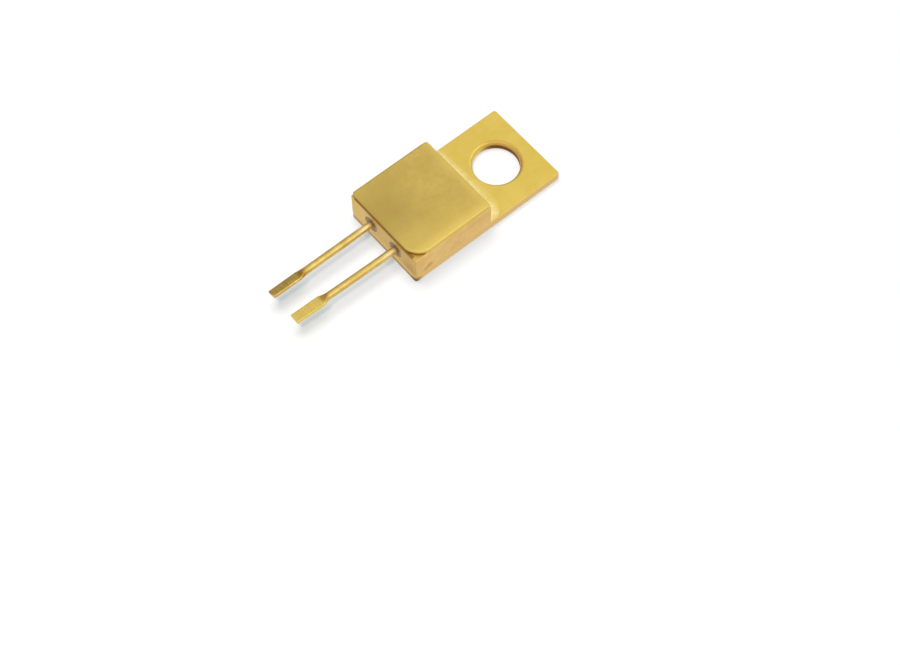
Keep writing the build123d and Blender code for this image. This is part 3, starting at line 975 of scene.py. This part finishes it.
@dataclass
class Interior:
    """What lies under the lid: solder, tile, lands, chip, film, glaze, ribbons and wires."""

    bond: PlatedFinish = PlatedFinish(
        "bond_bright_gold", tone=(242, 212, 118), cloud_tone=(232, 200, 104),
        edge_tone=(248, 224, 140), roughness=0.28, cloud_size=0.4 * MM, grain_size=0.02 * MM,
        grain_depth=0.3e-6)
    film: PlatedFinish = PlatedFinish(
        "film_platinum", tone=(206, 206, 208), cloud_tone=(192, 192, 196),
        edge_tone=(222, 222, 224), roughness=0.3, cloud_size=0.3 * MM, grain_size=0.02 * MM,
        grain_depth=0.2e-6)
    tile: FiredFinish = FiredFinish(
        "tile_fired_alumina", tone=(246, 244, 236), mottle=(236, 234, 226), roughness=0.5)
    solder: FiredFinish = FiredFinish(
        "solder_dull", tone=(200, 200, 196), mottle=(172, 172, 170), roughness=0.42,
        metallic=1.0)
    adhesive: FiredFinish = FiredFinish(
        "die_adhesive", tone=(214, 206, 182), mottle=(200, 190, 164), roughness=0.6)
    glaze: FiredFinish = FiredFinish(
        "glaze_clear", tone=(196, 212, 210), mottle=(182, 200, 198), roughness=0.12,
        coat=0.5, alpha=0.45)

    def build(self, effects: EffectLibrary) -> None:
        """Dresses the hidden nodes."""
        dressings = (
            (self.bond, ("left_bond_pad", "right_bond_pad", "left_lead_ribbon", "right_lead_ribbon",
                         "left_chip_wire", "right_chip_wire")),
            (self.film, ("sensing_film",)),
            (self.tile, ("ceramic_tile", "sensor_chip")),
            (self.solder, ("tile_solder",)),
            (self.adhesive, ("chip_adhesive",)),
            (self.glaze, ("chip_glaze",)))
        for finish, nodes in dressings:
            material = finish.material(effects)
            for node in nodes:
                dress(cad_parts[node], material)


# ---- studio ----


@dataclass(frozen=True)
class Lamp:
    """A square soft lamp that casts shadows on the floor and that gloss doesn't show."""

    name: str
    size: float
    power: float
    distance: float = 0.6

    def build(self, aim: Vector, way: Vector) -> None:
        """Adds the lamp.

        Args:
            aim: What it points at.
            way: Which way it stands from there, one unit long.
        """
        light = bpy.data.lights.new(self.name, "AREA")
        light.shape = "SQUARE"
        light.size = self.size
        light.energy = self.power
        made = add_object(self.name, light)
        made.location = aim + way * self.distance
        made.rotation_euler = (made.location - aim).to_track_quat("Z", "Y").to_euler()
        made.visible_glossy = False


@dataclass
class Studio:
    """Pale floor, soft light and the camera."""

    camera_place: Place = (-71.255 * MM, -77.324 * MM, 162.899 * MM)
    azimuth: float = -40.093
    elevation: float = 62.171
    lens: float = 75.148
    sensor: float = 36.0
    clip: tuple[float, float] = (0.005, 5.0)
    floor_size: float = 1.2
    floor_drop: float = -0.01 * MM
    floor_reach: float = 0.07
    floor_colour: Colour = (0.97, 0.87, 0.8)
    sky_horizon: float = 0.46
    sky_rise: float = 0.56
    sky_ends: float = 0.5
    sky_right: float = 0.25
    soft_box: Place = (0.3, -0.5, 0.81)
    box_level: float = 0.5
    matt_level: float = 0.25
    floor_level: float = 1.04
    mirror_level: float = 0.93
    middle: Place = (-9 * MM, 0.0, 2 * MM)
    key: Lamp = Lamp("key", size=0.09, power=1.15)
    key_turn: float = math.radians(12.5)
    key_up: float = 0.8
    key_left: float = 0.6
    overhead: Lamp = Lamp("overhead", size=0.38, power=1.9)
    overhead_way: Place = (0.0, 0.16, 0.99)

    def floor(self) -> None:
        """Adds a level sheet just below the plate, lifted to white.

        Near the part it is matt and takes the shadows; further out it is plain white. Gold and glass
        mirror it as plain white. From below it doesn't show, so that the underside can be looked at.
        """
        half = self.floor_size / 2
        corners = [(half * x, half * y, self.floor_drop) for x, y in ((-1, -1), (1, -1), (1, 1), (-1, 1))]
        mesh = bpy.data.meshes.new("floor")
        mesh.from_pydata(corners, [], [(0, 1, 2, 3)])
        made = add_object("floor", mesh)
        material, graph = new_material("floor_white")
        away = graph.vector("LENGTH", graph.node("TexCoord").outputs["Object"])
        close = graph.scaled(away, self.floor_reach, 3 * self.floor_reach, 1.0, 0.0)
        tone = graph.blend(close, (0.0, 0.0, 0.0), self.floor_colour)
        rest = graph.vector("SUBTRACT", (self.floor_level,) * 3, tone)
        path = graph.node("LightPath")
        mirrored = graph.maths("MAXIMUM", path.outputs["Is Glossy Ray"], path.outputs["Is Transmission Ray"])
        matt = graph.node("BsdfDiffuse", {"Color": tone})
        lift = graph.node("Emission", {"Color": rest, "Strength": path.outputs["Is Camera Ray"]})
        sheet = graph.node("AddShader", {0: matt.outputs[0], 1: lift.outputs[0]})
        plain = graph.node("Emission", {"Color": (1.0, 1.0, 1.0), "Strength": self.mirror_level})
        upper = graph.node("MixShader", {0: mirrored, 1: sheet.outputs[0], 2: plain.outputs[0]})
        clear = graph.node("BsdfTransparent")
        shown = graph.node("MixShader", {0: graph.node("NewGeometry").outputs["Backfacing"],
                                         1: upper.outputs[0], 2: clear.outputs[0]})
        graph.show(shown)
        material.cycles.emission_sampling = "NONE"
        mesh.materials.append(material)

    def world(self) -> None:
        """Room light, brighter above, at both ends and on the right; the camera sees plain white.

        Gloss sees the room in full. Matt surfaces, and what they light, see it at a lower even level,
        so that the lamps give them their shadows.
        """
        world = bpy.data.worlds.new("soft_room")
        bpy.context.scene.world = world
        world.use_nodes = True
        world.cycles.sampling_method = "NONE"
        world.node_tree.nodes.clear()
        graph = Graph(world.node_tree)
        whole = graph.node("TexCoord").outputs["Generated"]
        aside = graph.vector("DOT_PRODUCT", whole, Vector(self.soft_box).normalized())
        x, y, z = graph.parts(whole)
        level = graph.maths("MULTIPLY_ADD", graph.maths("ABSOLUTE", z), self.sky_rise, self.sky_horizon)
        level = graph.maths("MULTIPLY_ADD", graph.maths("ABSOLUTE", x), self.sky_ends, level)
        level = graph.maths("MULTIPLY_ADD", y, -self.sky_right, level)
        level = graph.maths("ADD", level, graph.scaled(aside, 0.9, 0.98, 0.0, self.box_level))
        path = graph.node("LightPath")
        matt = graph.maths("MINIMUM", path.outputs["Diffuse Depth"], 1.0)
        level = graph.blend(matt, level, self.matt_level, kind="FLOAT")
        strength = graph.blend(path.outputs["Is Camera Ray"], level, 1.0, kind="FLOAT")
        back = graph.node("Background", {"Color": (1.0, 1.0, 1.0), "Strength": strength})
        graph.show(back, output="OutputWorld")

    def camera(self) -> None:
        """Adds the camera, level and without shift."""
        lens = bpy.data.cameras.new("camera")
        lens.sensor_fit = "HORIZONTAL"
        lens.sensor_width = self.sensor
        lens.lens = self.lens
        lens.clip_start, lens.clip_end = self.clip
        made = add_object("camera", lens)
        turn, lift = math.radians(self.azimuth), math.radians(self.elevation)
        back = Vector((math.sin(turn) * math.cos(lift), -math.cos(turn) * math.cos(lift), math.sin(lift)))
        right = Vector((math.cos(turn), math.sin(turn), 0.0))
        upward = back.cross(right)
        rotation = Matrix((right, upward, back)).transposed()
        made.matrix_world = Matrix.Translation(Vector(self.camera_place)) @ rotation.to_4x4()
        bpy.context.scene.camera = made

    def key_way(self) -> Vector:
        """Returns the way to the key lamp: the camera's own, turned towards its upper left."""
        turn = math.radians(self.azimuth)
        toward = (Vector(self.camera_place) - Vector(self.middle)).normalized()
        across = Vector((math.cos(turn), math.sin(turn), 0.0))
        aside = toward.cross(across) * self.key_up - across * self.key_left
        return toward * math.cos(self.key_turn) + aside * math.sin(self.key_turn)

    def build(self) -> None:
        """Sets up floor, world, lamps and camera."""
        self.floor()
        self.world()
        self.key.build(Vector(self.middle), self.key_way())
        self.overhead.build(Vector(self.middle), Vector(self.overhead_way).normalized())
        self.camera()
        bpy.context.scene.view_settings.view_transform = "Standard"


def main() -> None:
    """Builds the sensor's looks and its studio."""
    logging.basicConfig(level=logging.INFO, format="%(name)s: %(message)s")
    effects = EffectLibrary()
    Case().build(effects)
    Terminals().build(effects)
    Interior().build(effects)
    Studio().build()


if __name__ == "__main__":
    main()
